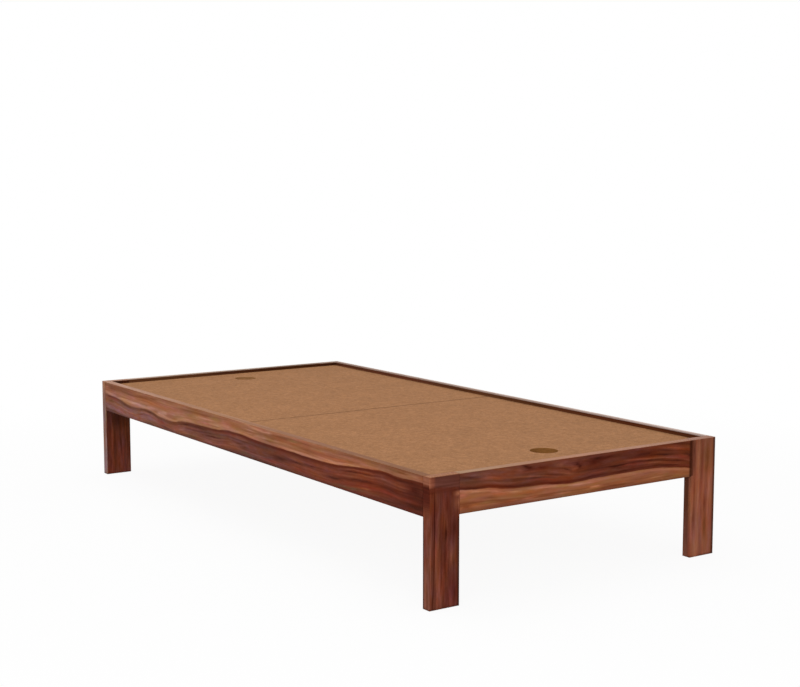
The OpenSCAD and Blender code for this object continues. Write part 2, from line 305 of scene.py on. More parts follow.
SIDE_SAP = (
    (SAP_DARK, (
        (900, 312, 90, 9, 0.8), (830, 322, 80, 5, 0.8), (770, 312, 70, 12, 0.5), (740, 324, 90, 4, 0.6),
        (660, 314, 80, 6, 0.7, 0.02), (570, 318, 60, 5, 0.7), (300, 302, 60, 9, 0.5),
        (255, 322, 110, 4, 0.7), (190, 312, 50, 3.5, 0.6), (-205, 296, 50, 5, 0.8),
        (-235, 305, 50, 3.5, 0.5), (-100, 300, 40, 3, 0.5, -0.1), (-420, 305, 130, 4, 0.8),
        (-180, 312, 60, 3, 0.5), (-60, 306, 50, 3, 0.5), (440, 306, 60, 4, 0.5),
        (-560, 311, 90, 3, 0.5, -0.02), (-880, 318, 120, 5, 0.5),
    )),
    (SAP_ORANGE, (
        (560, 300, 130, 14, 0.5), (480, 290, 70, 18, 0.4), (640, 302, 90, 8, 0.4), (-350, 311, 110, 8, 0.6),
        (-560, 303, 110, 5, 0.5, -0.03), (-480, 308, 70, 4, 0.5), (-640, 306, 70, 4, 0.4, -0.03),
        (-960, 318, 60, 10, 0.5), (20, 306, 60, 10, 0.4),
    )),
    (SAP_OLIVE, (
        (355, 285, 44, 5, 0.8), (300, 301, 34, 6, 0.6), (180, 296, 40, 5, 0.6), (125, 312, 50, 7, 0.7),
        (-20, 302, 20, 10, 0.5), (-345, 316, 45, 5, 0.7), (-475, 312, 40, 6, 0.5), (-830, 322, 50, 4, 0.4),
        (400, 281, 26, 5, 0.6), (-60, 291, 26, 4, 0.5), (-205, 300, 30, 5, 0.4), (930, 322, 40, 5, 0.5),
    )),
    (SAP_PINK, (
        (450, 308, 130, 9, 0.6), (60, 308, 50, 10, 0.8), (200, 291, 70, 5, 0.7), (860, 300, 120, 7, 0.5),
        (720, 300, 100, 6, 0.5), (-640, 317, 130, 6, 0.3), (-130, 291, 60, 4, 0.6), (950, 312, 40, 12, 0.6),
    )),
    (SAP_LIGHT, (
        (-130, 320, 85, 5.5, 0.95, 0.06), (-205, 319, 45, 4, 0.8), (-925, 319, 45, 7, 0.7),
        (60, 300, 50, 4, 0.6), (330, 284, 90, 6, 0.6, -0.04), (-370, 291, 110, 4, 0.7),
        (110, 294, 60, 4, 0.5, 0.05), (-640, 299.5, 120, 3, 0.7, -0.06), (-520, 294, 60, 4, 0.5),
        (470, 272, 60, 5, 0.6), (-730, 312, 90, 3.5, 0.5, -0.03), (190, 305, 110, 5, 0.4),
        (-80, 312, 60, 3, 0.6, 0.03), (-900, 313, 80, 4, 0.5), (560, 286, 60, 6, 0.4),
    )),
    (SAP_PALE, (
        (700, 284, 130, 7.5, 0.85), (925, 292, 60, 6, 0.85, 0.06), (810, 287, 80, 4, 0.45, -0.06),
        (600, 285, 60, 5, 0.4), (505, 276, 44, 8, 0.6), (485, 285, 30, 8, 0.4),
    )),
)
FOOT_HEART = (
    (HEART_LIGHT, (
        (-300, -28, 40, 14, 0.7), (-215, -44, 30, 8, 0.7), (-70, -50, 22, 10, 0.8, 0.3),
        (-60, -28, 60, 5, 0.8, 0.10), (-160, -24, 90, 3.5, 0.8, 0.04), (-35, -40, 24, 10, 0.5, 0.4),
        (200, -30, 80, 3.5, 0.9, 0.06), (300, -28, 70, 3, 0.8, 0.02), (250, -16, 90, 3, 0.8, 0.02),
        (330, -10, 60, 2.5, 0.7), (330, -54, 50, 7, 0.7), (60, -14, 90, 3.5, 0.5), (380, -22, 30, 3, 0.5),
    )),
    (HEART_PINK, ((-415, -16, 40, 6, 0.4), (-350, -34, 30, 6, 0.3))),
    (HEART_RED, (
        (-120, -14, 90, 3.5, 0.6, 0.03), (350, -30, 40, 8, 0.7), (360, -6, 40, 4, 0.6),
        (160, -20, 90, 3, 0.5), (-30, -18, 50, 3, 0.5),
    )),
    (HEART_DARK, (
        (-230, -5, 90, 5, 0.6), (-90, -5, 90, 5, 0.5), (-350, -3.5, 60, 4, 0.6), (112, -21, 26, 8, 0.7),
        (-180, -48, 24, 8, 0.9), (-130, -44, 50, 8, 0.6), (-60, -38, 20, 5, 0.6, 0.3),
        (-15, -44, 22, 20, 0.8), (40, -42, 50, 20, 0.7), (120, -23, 80, 3, 0.9, 0.02),
        (90, -50, 70, 7, 0.7), (220, -42, 70, 12, 0.8), (240, -23, 90, 3.2, 0.9, 0.03),
        (290, -36, 60, 4, 0.8), (340, -19, 60, 3, 0.8), (300, -8, 90, 3, 0.7), (140, -6, 110, 4, 0.7),
        (20, -7, 60, 6, 0.6), (380, -36, 20, 12, 0.6), (-370, -30, 40, 5, 0.5), (290, -48, 40, 4, 0.5),
    )),
    (HEART_BLACK, ((110, -23, 30, 2, 0.7), (45, -52, 30, 6, 0.6), (-185, -52, 14, 4, 0.6))),
)
FOOT_SAP = (
    (SAP_DARK, (
        (-378, 244, 36, 13, 1.0), (-300, 257, 40, 5, 0.6, -0.1), (-180, 250, 60, 6, 0.7),
        (-250, 237, 90, 5, 0.8), (-90, 244, 40, 6, 0.5), (90, 238, 50, 7, 0.6), (200, 244, 60, 4, 0.6),
        (120, 236, 90, 4, 0.7), (300, 238, 50, 5, 0.6), (-20, 238, 30, 6, 0.5), (150, 253, 50, 3, 0.5),
        (235, 256, 40, 3, 0.5),
    )),
    (SAP_ORANGE, (
        (-340, 245, 26, 5, 0.4), (-285, 262, 50, 6, 0.5, -0.1), (-170, 256, 40, 7, 0.6),
        (-60, 250, 50, 6, 0.4), (15, 244, 50, 4, 0.5), (130, 244, 50, 5, 0.5), (215, 238, 34, 4, 0.5),
        (340, 247, 50, 6, 0.5, -0.1), (310, 256, 60, 4, 0.4, -0.1), (-235, 240, 40, 4, 0.4),
    )),
    (SAP_OLIVE, (
        (-310, 246, 40, 7, 0.6), (-75, 258, 34, 5, 0.8), (-215, 250, 34, 6, 0.5), (60, 238, 40, 5, 0.5),
        (285, 246, 26, 8, 0.6), (330, 236, 30, 5, 0.5), (-10, 262, 26, 4, 0.5), (120, 250, 26, 5, 0.5),
    )),
    (SAP_PINK, (
        (-390, 273, 30, 9, 0.8), (-180, 240, 30, 5, 0.6), (-110, 262, 40, 5, 0.7), (40, 255, 40, 4, 0.6),
        (180, 259, 40, 4, 0.7), (-70, 238, 30, 4, 0.6), (270, 248, 30, 4, 0.5),
    )),
    (SAP_LIGHT, (
        (-358, 278, 62, 6.5, 0.85, -0.13), (-285, 269, 45, 5, 0.5, -0.12), (-230, 262, 50, 4, 0.6, -0.06),
        (-130, 262, 60, 4, 0.6, -0.03), (46, 243, 24, 3.5, 1.0), (0, 254, 60, 4, 0.4),
        (290, 258, 60, 3, 0.8, -0.06), (-20, 256, 40, 4, 0.4), (150, 262, 60, 2.5, 0.5),
        (250, 241, 40, 3, 0.5),
    )),
)
RIGHT_HEART = (
    (HEART_LIGHT, (
        (-760, -20, 130, 4, 0.8, 0.02), (-430, -34, 90, 5, 0.7), (-90, -16, 110, 4, 0.8, -0.02),
        (250, -40, 100, 5, 0.7, 0.03), (520, -24, 90, 4, 0.8), (800, -38, 100, 5, 0.7, -0.02),
    )),
    (HEART_PINK, ((-600, -46, 90, 8, 0.5), (60, -38, 80, 9, 0.5), (680, -30, 90, 8, 0.5))),
    (HEART_RED, (
        (-880, -40, 80, 6, 0.6), (-250, -48, 110, 6, 0.7), (380, -14, 90, 5, 0.6), (900, -16, 60, 6, 0.6),
    )),
    (HEART_DARK, (
        (-680, -30, 140, 5, 0.7, 0.01), (-340, -22, 110, 5, 0.7), (-40, -30, 120, 5, 0.7, 0.02),
        (330, -28, 110, 5, 0.7), (620, -14, 90, 4, 0.6), (740, -50, 110, 7, 0.6), (-520, -10, 90, 4, 0.6),
        (120, -52, 90, 7, 0.6),
    )),
)
RIGHT_SAP = (
    (SAP_DARK, (
        (-800, 240, 90, 4, 0.6), (-500, 247, 80, 4, 0.6), (-200, 238, 90, 4, 0.6), (150, 235, 90, 4, 0.6),
        (480, 245, 80, 4, 0.6), (820, 242, 100, 5, 0.6),
    )),
    (SAP_ORANGE, ((-650, 258, 90, 5, 0.5), (-60, 252, 80, 5, 0.5), (650, 256, 90, 6, 0.5))),
    (SAP_LIGHT, (
        (-380, 250, 90, 4, 0.7), (-900, 254, 70, 4, 0.7), (320, 243, 80, 3.5, 0.7), (760, 262, 80, 4, 0.7),
    )),
)
HEAD_HEART = (
    (HEART_LIGHT, (
        (-260, -20, 80, 4, 0.8, 0.04), (-60, -36, 70, 5, 0.7), (150, -14, 80, 3.5, 0.8, -0.03),
        (300, -34, 70, 5, 0.7),
    )),
    (HEART_RED, ((-340, -44, 50, 6, 0.6), (40, -22, 60, 5, 0.6), (220, -48, 60, 6, 0.6))),
    (HEART_DARK, (
        (-200, -30, 80, 5, 0.8, 0.03), (-20, -12, 70, 4, 0.6), (120, -28, 80, 5, 0.8),
        (290, -20, 60, 4, 0.7), (-350, -12, 60, 4, 0.6), (60, -50, 60, 6, 0.6),
    )),
)
HEAD_SAP = (
    (SAP_DARK, ((-320, 236, 60, 4, 0.6), (-120, 243, 50, 4, 0.6), (110, 240, 60, 4, 0.6))),
    (SAP_LIGHT, ((-220, 246, 50, 4, 0.7), (30, 252, 50, 4, 0.7), (260, 256, 60, 5, 0.7))),
)

# The same on the legs, where along is the height and across is X
NEAR_SPOTS = (
    (srgb(128, 70, 51), (
        (50, -457, 110, 11, 0.9), (150, -458, 70, 8, 0.5), (100, -423, 60, 6, 0.3), (20, -449, 40, 10, 0.4),
        (120, -418, 60, 10, 0.6), (120, -478.5, 170, 3.4, 0.9),
    )),
    (srgb(72, 25, 13), (
        (240, -467.5, 110, 2.6, 1.0), (130, -469.0, 110, 2.6, 0.9, 0.012), (20, -472.5, 70, 2.6, 0.6, 0.04),
        (185, -433, 22, 5, 1.0), (85, -424, 70, 12, 0.4), (20, -431, 60, 10, 0.4), (250, -430, 40, 5, 0.4),
        (195, -408, 50, 14, 0.7), (40, -406, 50, 14, 0.5), (255, -402, 30, 8, 0.2), (130, -437, 50, 7, 0.5),
        (288, -474, 18, 8, 0.45),
    )),
    (srgb(96, 44, 42), ((50, -416, 60, 16, 0.5), (170, -415, 30, 12, 0.4), (195, -447, 40, 6, 0.4))),
)
RIGHT_SPOTS = (
    (srgb(165, 102, 76), (
        (30, 412, 70, 16, 0.8), (150, 418, 110, 9, 0.7), (280, 418, 80, 9, 0.5), (185, 462, 70, 9, 0.7),
        (290, 462, 40, 6, 0.2),
    )),
    (srgb(120, 58, 39), (
        (270, 434, 70, 6, 0.8), (145, 444, 45, 9, 0.8), (190, 404, 60, 5, 0.7), (110, 403, 50, 6, 0.6),
    )),
    (srgb(121, 66, 40), ((85, 445, 50, 10, 1.0), (280, 454, 60, 13, 0.9), (245, 450, 24, 9, 0.4))),
    (srgb(99, 54, 37), ((305, 402, 50, 7, 0.9), (255, 402, 40, 7, 0.5))),
    (srgb(148, 104, 72), ((165, 389, 60, 7, 0.7),)),
    (srgb(140, 90, 82), ((55, 463, 40, 11, 0.6), (45, 432, 20, 9, 0.3))),
)
LEFT_SPOTS = (
    (srgb(116, 58, 42), ((30, -440, 70, 30, 0.6), (60, -420, 80, 5, 0.6))),
    (srgb(62, 26, 18), ((90, -452, 80, 6, 0.4), (120, -430, 60, 4, 0.3), (190, -440, 40, 40, 0.4))),
)
# The end of the foot rail's sapwood on the near leg, where along is X and across is the height
NEAR_TIP = ((-394, 281, 17, 8, 0.95), (-396, 258, 17, 22, 0.42))

# Tones along the rails, by Y or X: the heartwood
# On the left side rail the heartwood and its dark line turn paler and greyer towards the far end: partly the
# wood's tone, partly painted reflection of a grazing sheen
SIDE_BASE = tones(
    (-0.99, 93, 40, 27), (-0.86, 108, 52, 36), (-0.70, 120, 55, 35), (-0.40, 116, 61, 45),
    (-0.15, 110, 63, 51), (0.15, 119, 69, 55), (0.45, 133, 82, 68), (0.70, 143, 95, 85),
    (0.99, 127, 78, 65),
)
FOOT_BASE = tones(
    (-0.49, 96, 53, 41), (-0.36, 101, 56, 43), (-0.28, 114, 63, 49), (-0.15, 106, 54, 38),
    (-0.05, 111, 56, 39), (0.07, 100, 49, 36), (0.15, 98, 45, 31), (0.25, 106, 49, 31), (0.39, 111, 51, 26),
)
PLAIN_BASE = tones((-0.99, 108, 52, 34), (0.99, 112, 56, 40))
# The dark line where the two woods meet
SIDE_LINE = tones(
    (-0.99, 88, 33, 16), (-0.10, 88, 33, 16), (0.35, 103, 54, 33), (0.60, 114, 68, 46), (0.99, 118, 70, 52),
)
FOOT_LINE = tones(
    (-0.49, 92, 40, 24), (-0.25, 100, 42, 20), (-0.03, 94, 40, 24), (0.08, 98, 46, 32), (0.24, 96, 42, 28),
    (0.39, 88, 32, 16),
)
PLAIN_LINE = tones((-1.0, 88, 33, 16), (1.0, 88, 33, 16))
# Factors on the sapwood
SIDE_TINT = factors(
    (-0.99, 0.62, 0.555, 0.525), (-0.80, 0.71, 0.63, 0.55), (-0.70, 0.84, 0.75, 0.65),
    (-0.50, 0.99, 0.92, 0.91), (-0.20, 0.93, 0.91, 0.92), (0.20, 1.0, 1.0, 0.97), (0.75, 0.99, 0.95, 0.97),
    (0.99, 0.80, 0.75, 0.80),
)
FOOT_TINT = factors(
    (-0.49, 0.86, 0.705, 0.615), (-0.15, 0.88, 0.77, 0.71), (-0.04, 0.97, 0.90, 0.80),
    (0.08, 0.86, 0.73, 0.66), (0.15, 0.88, 0.75, 0.67), (0.25, 0.79, 0.66, 0.56), (0.49, 0.82, 0.68, 0.55),
)
PLAIN_TINT = factors((-0.99, 0.90, 0.84, 0.80), (0.99, 0.95, 0.90, 0.88))
# The upper edges: partly their own paler tone, partly painted sheen
SIDE_TOP_SHEEN = tones((-0.99, 137, 93, 64), (-0.40, 142, 98, 71), (0.10, 164, 118, 86), (0.99, 187, 145, 124))
FOOT_TOP_SHEEN = tones(
    (-0.49, 174, 138, 108), (0.0, 180, 130, 104), (0.20, 182, 135, 111), (0.32, 176, 130, 106),
    (0.49, 156, 108, 86),
)
RIGHT_TOP_SHEEN = tones((-0.99, 217, 192, 180), (0.0, 193, 165, 149), (0.99, 177, 145, 127))
HEAD_TOP_SHEEN = tones((-0.49, 207, 176, 154), (0.0, 190, 163, 142), (0.30, 163, 135, 115), (0.49, 156, 127, 107))
# Painted shade on the inner faces above the deck
SIDE_INNER_SHADE = tones(
    (-0.99, 78, 42, 18), (-0.60, 84, 45, 23), (0.0, 94, 60, 34), (0.20, 87, 54, 30), (0.50, 100, 57, 37),
    (0.88, 98, 57, 35), (0.96, 70, 38, 18),
)
FOOT_INNER_SHADE = tones((-0.49, 94, 54, 32), (0.49, 90, 50, 30))
HEAD_INNER_SHADE = tones(
    (-0.49, 98, 64, 38), (-0.30, 93, 60, 34), (-0.10, 90, 57, 32), (0.0, 72, 42, 21), (0.12, 64, 35, 14),
    (0.30, 61, 33, 6),
)
# Tones up the legs, by height: the wide faces and the narrow outer ones
NEAR_TONE = tones((0.0, 112, 57, 44), (0.12, 103, 50, 36), (0.20, 99, 47, 33), (TOP_Z, 100, 48, 34))
NEAR_END = tones((0.0, 134, 79, 60), (0.10, 124, 71, 54), (0.20, 111, 60, 45), (TOP_Z, 112, 60, 42))
RIGHT_TONE = tones((0.0, 146, 84, 63), (0.20, 145, 82, 60), (0.30, 132, 75, 52), (TOP_Z, 130, 74, 52))
LEFT_TONE = tones((0.0, 124, 65, 50), (0.10, 112, 59, 45), (0.22, 92, 49, 38), (TOP_Z, 100, 51, 38))
LEFT_END = tones((0.0, 160, 120, 108), (TOP_Z, 152, 113, 95))
FAR_TONE = tones((0.0, 112, 58, 42), (TOP_Z, 106, 52, 36))
FAR_END = tones((0.0, 124, 70, 50), (TOP_Z, 116, 62, 44))
# The right leg's narrow inner face, by height
RIGHT_INNER = tones((0.0, 130, 82, 66), (0.07, 107, 66, 53), (0.16, 80, 44, 33))
# The top of the near leg: its narrow face by height, and the wide one by X
NEAR_BAND = tones(
    (0.228, 108, 56, 40), (0.250, 96, 43, 28), (0.270, 84, 32, 19), (0.288, 80, 29, 16),
    (0.300, 76, 26, 12), (0.3065, 104, 52, 33), (0.311, 139, 83, 60), (TOP_Z, 146, 90, 67),
)
NEAR_CAP = tones(
    (-OUT_X, 146, 86, 62), (-0.473, 126, 69, 50), (-0.462, 98, 54, 44), (-0.42, 95, 52, 42),
    (-0.385, 95, 50, 38),
)

# Noises of the hardwood: waves per metre along the grain, across it and into the wood
WANDER_WAVES = (1.6, 7.0, 7.0)
BROAD_WAVES = (1.6, 62.0, 30.0)
NARROW_WAVES = (5.0, 190.0, 120.0)
FINE_WAVES = (9.0, 520.0, 380.0)
PORE_WAVES = (90.0, 1900.0, 1900.0)
MOTTLE_WAVES = (30.0, 120.0, 70.0)
DRIFT_WAVES = (13.0, 48.0, 30.0)
TINGE_WAVES = (9.0, 40.0, 24.0)
TINGE_SHIFT = 40.0 / 9.0        # so that it doesn't follow the others
JAG_WAVES = (22.0, 60.0, 40.0)
FRAY_WAVES = (12.0, 60.0, 20.0)
# Noises of the legs: waves per metre along X, Y and Z
LEG_FRAY_WAVES = (50.0, 50.0, 9.0)
TOP_FRAY_WAVES = (40.0, 40.0, 60.0)
LYING_WAVES = (9.0, 9.0, 190.0)

# How far noises move a coordinate in all
WANDER_ACROSS, WANDER_DEEP = 24 * MM, 20 * MM       # the grain
JAG = 3.2 * MM                                      # the edge between the two woods
FRAY_ALONG = 90 * MM                                # the rails' ovals, along
FRAY_HEART, FRAY_SAP = 7 * MM, 8 * MM               # and across, on the two woods
FRAY_LEG, FRAY_TOP = 4 * MM, 5 * MM                 # the legs' ovals, and the near leg's top

# Lines beside the edge between the two woods: middle, width and strength
DARK_LINE = (-4.6 * MM, 5.2 * MM, 0.95)     # in the heartwood
PALE_LINE = (4.5 * MM, 3.5 * MM, 0.40)      # in the sapwood
CAP_LINE = (-3.0 * MM, 6.0 * MM, 0.78)      # below the edge on the near leg's top
CAP_LINE_TONE = srgb(88, 36, 22)
TIP_TONE = srgb(162, 100, 72)

OVAL_REACH = 1.4        # an oval fades out at this many times its half size
OVAL_GAIN = 1.6         # raises its middle, which is then capped at 1
EDGE_LEAN = 0.25        # how far the edge between the two woods moves for each metre into the wood
EDGE_LEVEL = 0.28       # the height from which the grain's rise with that edge is counted
INNER_SHADE_SHARE = 0.8       # the share of a piece's inner tone above the deck
LEG_PACE = 2.0          # a leg's streaks are this many times shorter than a rail's
GRAIN_RELIEF = 0.12 * MM


def blots(net, along, across, spots):
    """A mask of soft ovals on a face."""
    total = 0.0
    place = net.vec(along, across, 0.0)
    for middle, level, half_length, half_width, strength, *slope in spots:
        oval = net.new("Mapping")
        oval.vector_type = "TEXTURE"
        net.put(oval.inputs["Vector"], place)
        oval.inputs["Location"].default_value = (middle * MM, level * MM, 0.0)
        oval.inputs["Rotation"].default_value = (0.0, 0.0, slope[0] if slope else 0.0)
        reach = (half_length * MM * OVAL_REACH, half_width * MM * OVAL_REACH, 1.0)
        oval.inputs["Scale"].default_value = reach
        fade = net.new("TexGradient")
        fade.gradient_type = "QUADRATIC_SPHERE"
        net.put(fade.inputs[0], oval.outputs[0])
        total = net.math("MULTIPLY_ADD", fade.outputs[1], strength * OVAL_GAIN, total)
    return net.math("MINIMUM", total, 1.0)


def marks(net, colour, along, across, groups):
    """Paints each group of ovals in its own tone."""
    for tone, spots in groups:
        colour = net.mix(blots(net, along, across, spots), colour, tone)
    return colour


def grain(net, along, across, depth, shift):
    """Broad streaks, narrow streaks, fine lines and pores that run along one axis.

    shift moves the noises along it, in metres, so that each piece has its own grain.
    """
    along = net.add(along, shift)
    wander = net.noise((along, across, depth), WANDER_WAVES, detail=1.0)
    place = (along, net.sway(across, wander, WANDER_ACROSS), net.sway(depth, wander, WANDER_DEEP))
    broad = net.noise(place, BROAD_WAVES, rough=0.55)
    narrow = net.noise(place, NARROW_WAVES, detail=3.0, rough=0.6)
    fine = net.noise(place, FINE_WAVES, detail=3.0, rough=0.6)
    pores = net.step(net.noise(place, PORE_WAVES), 0.60, 0.72)
    return broad, narrow, fine, pores


def close(net, colour, narrow, fine, pores, contrast, rough=0.5, specular=0.02):
    """Adds streaks, fine lines and pores, as strong as contrast says, and relief, and ends the material."""
    colour = net.tint(net.step(narrow, 0.56, 0.30, 0.0, 0.62 * contrast), colour, DEEP)
    colour = net.tint(net.step(narrow, 0.45, 0.72, 0.0, contrast), colour, PALE)
    colour = net.shade(colour, net.step(fine, 0.25, 0.75, 1.0 - 0.14 * contrast, 1.0 + 0.14 * contrast))
    colour = net.mix(net.mul(pores, 0.35 * contrast), colour, PORE)
    net.bump(net.sub(net.mul(fine, 0.35), net.mul(pores, 0.65)), GRAIN_RELIEF)
    return net.finish(colour, net.step(fine, 0.2, 0.8, rough + 0.05, rough - 0.05), specular)


def paint_top_sheen(net, colour, tone):
    """Paints the planed upper edge: partly its own paler tone, partly painted sheen."""
    return net.mix(net.step(net.z, TOP_Z - 1.6 * MM, TOP_Z - 0.2 * MM, 0.0, 0.88), colour, tone)


def tints(net, colour, along, across, depth, strength):
    """Patches of other tints along the grain. strength is that of the short and the wide ones."""
    place = (along, across, depth)
    short = net.noise(place, MOTTLE_WAVES, detail=3.0, rough=0.65)
    colour = net.tint(strength, colour, net.ramp(short, MOTTLE))
    longer = net.noise(place, DRIFT_WAVES)
    colour = net.tint(1.0, colour, net.ramp(longer, DRIFT))
    wide = net.noise((net.add(along, TINGE_SHIFT), across, depth), TINGE_WAVES)
    return net.tint(strength, colour, net.ramp(wide, TINGE))


def heartwood(net, along, past, broad, fray, base, line, figure, spots):
    """Heartwood: its base tone, broad streaks as strong as figure says, the line at its edge and ovals."""
    colour = net.tint(net.step(broad, 0.46, 0.28, 0.0, figure), net.ramp(along, base), DEEP)
    colour = net.shade(colour, net.step(broad, 0.48, 0.72, 1.0, 1.0 + 0.29 * figure))
    colour = net.mix(net.hump(past, *DARK_LINE), colour, net.ramp(along, line))
    return marks(net, colour, net.sway(along, fray, FRAY_ALONG), net.sway(past, fray, FRAY_HEART), spots)


def sapwood(net, along, past, broad, fray, tint, spots):
    """Sapwood in dark, middle and light broad streaks, with ovals and the line at its edge."""
    colour = net.mix(net.step(broad, 0.30, 0.50), SAP_DARK, SAP_MID)
    colour = net.mix(net.step(broad, 0.52, 0.78, 0.0, 0.7), colour, SAP_LIGHT)
    colour = marks(net, colour, net.sway(along, fray, FRAY_ALONG), net.sway(net.z, fray, FRAY_SAP), spots)
    colour = net.mix(net.hump(past, *PALE_LINE), colour, SAP_LIGHT)
    return net.tint(1.0, colour, net.ramp(along, tint))


def past_edge(net, along, depth, edge, heart_above):
    """How far a place lies past the two woods' edge into the sapwood, less than 0 in the heartwood."""
    past = net.sub(edge, net.z) if heart_above else net.sub(net.z, edge)
    jag = net.noise((along, net.z, depth), JAG_WAVES, detail=3.0)
    return net.sub(net.sway(past, jag, JAG), net.mul(depth, EDGE_LEAN))


def above_deck(net, depth, thickness):
    """1 on the inner face of a piece of that thickness, above the deck."""
    inside = net.step(depth, thickness - 1.5 * MM, thickness - 0.5 * MM)
    return net.mul(inside, net.step(net.z, DECK_TOP - 2 * MM, DECK_TOP))


def paint_rail_inner_shade(net, colour, depth, tone):
    """Painted shade on a rail's inner face above the deck, and painted deck light on its lowest strip."""
    lit = net.step(net.z, DECK_TOP, DECK_TOP + 7 * MM, 1.35, 1.0)
    return net.mix(net.mul(above_deck(net, depth, RAIL_T), INNER_SHADE_SHARE), colour, net.shade(tone, lit))


def rail_material(name, axis, edge_points, heart_above, outer, shift, base, tint, top, inner, heart, sap,
                  sheltered=1.0, extra=None, line=PLAIN_LINE, contrast=0.65, figure=1.0):
    """A rail whose sapwood and heartwood meet along a wavy edge.

    outer is the coordinate of the outer face, and shift the place in the grain. By the place along the rail,
    base is the heartwood's tone, line that of the dark line where the woods meet, tint the factors on the
    sapwood, top the upper edge's tone, partly painted sheen, and inner the painted shade above the deck
    inside. heart and sap are the ovals on the two woods. sheltered is the factor of painted shade on the
    upper edge's inner part. contrast is the strength of the fine grain, and figure that of the heartwood's
    broad streaks. extra paints what only this rail has.
    """
    net = Net(name)
    along, face = (net.y, net.x) if axis == "Y" else (net.x, net.y)
    depth = net.distance(face, outer)
    edge = net.curve(along, edge_points)
    past = past_edge(net, along, depth, edge, heart_above)
    # The grain follows the edge, the heartwood's more closely
    follow = net.step(past, -MM, MM, 0.9, 0.35)
    across = net.sub(net.z, net.mul(net.sub(edge, EDGE_LEVEL), follow))
    broad, narrow, fine, pores = grain(net, along, across, depth, shift)
    fray = net.noise((along, net.z, depth), FRAY_WAVES, detail=3.0, rough=0.65)
    dark = heartwood(net, along, past, broad, fray, base, line, figure, heart)
    pale = sapwood(net, along, past, broad, fray, tint, sap)
    colour = net.mix(net.step(past, -1.2 * MM, 1.2 * MM), dark, pale)
    colour = tints(net, colour, along, across, depth, net.step(past, -MM, MM, 1.0, 0.50))
    # Painted shade on a rail's lowest 12 mm, by its lower arris
    colour = net.tint(net.step(net.z, RAIL_Z + 2 * MM, RAIL_Z + 12 * MM, 0.85, 0.0), colour, LOW_ARRIS_SHADE)
    # Painted shade on the inner face above the deck
    colour = paint_rail_inner_shade(net, colour, depth, net.ramp(along, inner))
    if extra:
        colour = extra(net, colour)
    # Painted sheen on the upper edge, with painted shade on its inner part by the factor sheltered
    inwards = net.step(depth, RAIL_T - 16 * MM, RAIL_T - 7 * MM, 1.0, sheltered)
    colour = paint_top_sheen(net, colour, net.shade(net.ramp(along, top), inwards))
    return close(net, colour, narrow, fine, pores, contrast)


def foot_rail_end(net, colour):
    """The foot rail's right end is in the joint's shade."""
    return net.mix(net.step(net.x, LEG_IN_X - 12 * MM, LEG_IN_X - 5 * MM, 0.0, 0.9), colour, RAIL_JOINT_SHADE)


def leg_material(name, shift, tone, end_tone, outer, top, spots=(), extra=None, contrast=0.65, patches=1.0):
    """A leg with upright grain.

    tone is that of its wide faces and end_tone that of its narrow outer one, by height, and top that of its
    upper end, partly painted sheen. outer is the Y of the outer wide face, shift the place in the grain, and
    spots are the ovals.
    contrast is the strength of the fine grain, and patches that of the tints. extra paints what only this
    leg has, and gives back the colour, the narrow streaks and the share of upright grain.
    """
    net = Net(name)
    depth = net.distance(net.y, outer)
    broad, narrow, fine, pores = grain(net, net.mul(net.z, LEG_PACE), net.x, depth, shift)
    beyond = net.step(net.math("ABSOLUTE", net.x), OUT_X - 2 * MM, OUT_X - 0.5 * MM)
    colour = net.mix(beyond, net.ramp(net.z, tone), net.ramp(net.z, end_tone))
    colour = net.shade(colour, net.step(broad, 0.25, 0.75, 0.80, 1.20))
    # Painted shade on the inner face above the deck
    colour = net.mix(net.mul(above_deck(net, depth, LEG_T), INNER_SHADE_SHARE), colour, LEG_INNER_SHADE)
    # Painted shade at the foot of the leg
    colour = net.mix(net.step(net.z, 2 * MM, 8 * MM, 0.45, 0.0), colour, FLOOR_SHADE)
    fray = net.noise(net.place, LEG_FRAY_WAVES, detail=3.0, rough=0.6)
    colour = marks(net, colour, net.z, net.sway(net.x, fray, FRAY_LEG), spots)
    colour = tints(net, colour, net.add(net.z, shift), net.x, depth, patches)
    upright = 1.0
    if extra:
        colour, narrow, upright = extra(net, colour, narrow)
    fine = net.add(0.5, net.mul(net.sub(fine, 0.5), upright))
    # Painted sheen on the upper end
    colour = paint_top_sheen(net, colour, top)
    return close(net, colour, narrow, fine, net.mul(pores, upright), contrast)


def outer_face(net, coordinate, at):
    """1 on the near leg's outer face at that coordinate."""
    return net.step(coordinate, at + 0.5 * MM, at + 2 * MM, 1.0, 0.0)


def near_leg_arris_shade(net, colour):
    """Painted shade on the arrises of the near leg's inner sides, below the rails."""
    by_x = net.step(net.x, -LEG_IN_X - 9 * MM, -LEG_IN_X - 4 * MM)
    by_y = net.step(net.y, -LEG_IN_Y - 8 * MM, -LEG_IN_Y - 3 * MM)
    below = net.step(net.z, RAIL_Z - 12 * MM, RAIL_Z - 2 * MM, 0.7, 0.0)
    return net.mix(net.mul(net.math("MAXIMUM", by_x, by_y), below), colour, NEAR_ARRIS_SHADE)


def near_leg_cap(net, colour, on_wide, above, height):
    """The foot rail's heartwood on the wide face, its dark line and the end of the sapwood."""
    colour = net.mix(net.mul(on_wide, net.step(above, MM, 5 * MM)), colour, net.ramp(net.x, NEAR_CAP))
    colour = net.mix(net.mul(on_wide, net.hump(above, *CAP_LINE)), colour, CAP_LINE_TONE)
    tip = net.mul(blots(net, net.x, height, NEAR_TIP), net.step(above, 3 * MM, -2 * MM))
    return net.mix(net.mul(on_wide, tip), colour, TIP_TONE)


